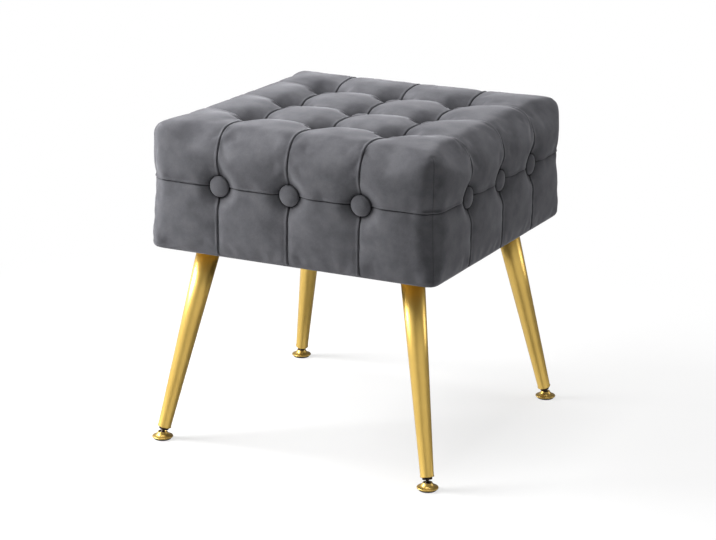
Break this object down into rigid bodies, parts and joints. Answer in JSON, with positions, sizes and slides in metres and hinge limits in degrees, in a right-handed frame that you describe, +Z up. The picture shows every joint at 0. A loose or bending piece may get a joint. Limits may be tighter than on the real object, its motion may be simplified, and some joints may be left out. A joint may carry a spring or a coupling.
{
  "type": "tufted stool",
  "caption": "Square button-tufted velvet stool on splayed, tapered gold metal legs with tilting levelling feet.",
  "frame": {"origin": "on the floor, midway between the four feet", "axes": "+Z up, the front of the seat faces -Y, +X to the right seen from the front"},
  "size_m": [0.4198, 0.4198, 0.4406],
  "materials": {
    "velvet": "mid-grey short-pile velvet over quilted polyester wadding",
    "twine": "waxed polyester tufting twine with fibre washers",
    "foam": "open-cell polyurethane foam",
    "pine": "planed pine",
    "plywood": "sanded plywood",
    "non_woven": "black spun-bonded cloth",
    "staple_steel": "galvanised wire",
    "screw_steel": "zinc-plated steel",
    "gold_steel": "satin gold plated and lacquered steel",
    "black_plastic": "moulded nylon",
    "dark_steel": "dark bronze lacquered steel",
    "black_pad": "matte rubber"
  },
  "bodies": {
    "stool": {"velvet_cover": "velvet", "top_button_1_1": "velvet", "top_button_1_2": "velvet", "top_button_1_3": "velvet", "top_button_2_1": "velvet", "top_button_2_2": "velvet", "top_button_2_3": "velvet", "top_button_3_1": "velvet", "top_button_3_2": "velvet", "top_button_3_3": "velvet", "front_button_1": "velvet", "front_button_2": "velvet", "front_button_3": "velvet", "right_button_1": "velvet", "right_button_2": "velvet", "right_button_3": "velvet", "back_button_1": "velvet", "back_button_2": "velvet", "back_button_3": "velvet", "left_button_1": "velvet", "left_button_2": "velvet", "left_button_3": "velvet", "tufting_ties": "twine", "seat_foam": "foam", "side_foam": "foam", "rail_front": "pine", "rail_back": "pine", "rail_left": "pine", "rail_right": "pine", "corner_blocks": "pine", "top_panel": "plywood", "base_panel": "plywood", "dust_cover": "non_woven", "staples": "staple_steel", "leg_screws": "screw_steel", "leg_plate_front_left": "gold_steel", "leg_front_left": "gold_steel", "leg_plug_front_left": "black_plastic", "leg_plate_front_right": "gold_steel", "leg_front_right": "gold_steel", "leg_plug_front_right": "black_plastic", "leg_plate_back_right": "gold_steel", "leg_back_right": "gold_steel", "leg_plug_back_right": "black_plastic", "leg_plate_back_left": "gold_steel", "leg_back_left": "gold_steel", "leg_plug_back_left": "black_plastic"},
    "stem_front_left": {"glide_stem_front_left": "dark_steel"},
    "foot_front_left": {"glide_foot_front_left": "gold_steel", "glide_pad_front_left": "black_pad"},
    "stem_front_right": {"glide_stem_front_right": "dark_steel"},
    "foot_front_right": {"glide_foot_front_right": "gold_steel", "glide_pad_front_right": "black_pad"},
    "stem_back_right": {"glide_stem_back_right": "dark_steel"},
    "foot_back_right": {"glide_foot_back_right": "gold_steel", "glide_pad_back_right": "black_pad"},
    "stem_back_left": {"glide_stem_back_left": "dark_steel"},
    "foot_back_left": {"glide_foot_back_left": "gold_steel", "glide_pad_back_left": "black_pad"}
  },
  "joints": [
    {"name": "level_front_left", "type": "slide", "parent": "stool", "child": "stem_front_left", "axis": [-0.183, -0.183, -0.9659], "range_m": [-0.0012, 0.006]},
    {"name": "tilt_front_left", "type": "hinge", "parent": "stem_front_left", "child": "foot_front_left", "pos_m": [-0.19594, -0.19594, 0.0075], "axis": [0.7071, -0.7071, 0], "range_deg": [-12, 12]},
    {"name": "level_front_right", "type": "slide", "parent": "stool", "child": "stem_front_right", "axis": [0.183, -0.183, -0.9659], "range_m": [-0.0012, 0.006]},
    {"name": "tilt_front_right", "type": "hinge", "parent": "stem_front_right", "child": "foot_front_right", "pos_m": [0.19594, -0.19594, 0.0075], "axis": [0.7071, 0.7071, 0], "range_deg": [-12, 12]},
    {"name": "level_back_right", "type": "slide", "parent": "stool", "child": "stem_back_right", "axis": [0.183, 0.183, -0.9659], "range_m": [-0.0012, 0.006]},
    {"name": "tilt_back_right", "type": "hinge", "parent": "stem_back_right", "child": "foot_back_right", "pos_m": [0.19594, 0.19594, 0.0075], "axis": [-0.7071, 0.7071, 0], "range_deg": [-12, 12]},
    {"name": "level_back_left", "type": "slide", "parent": "stool", "child": "stem_back_left", "axis": [-0.183, 0.183, -0.9659], "range_m": [-0.0012, 0.006]},
    {"name": "tilt_back_left", "type": "hinge", "parent": "stem_back_left", "child": "foot_back_left", "pos_m": [-0.19594, 0.19594, 0.0075], "axis": [-0.7071, -0.7071, 0], "range_deg": [-12, 12]}
  ]
}
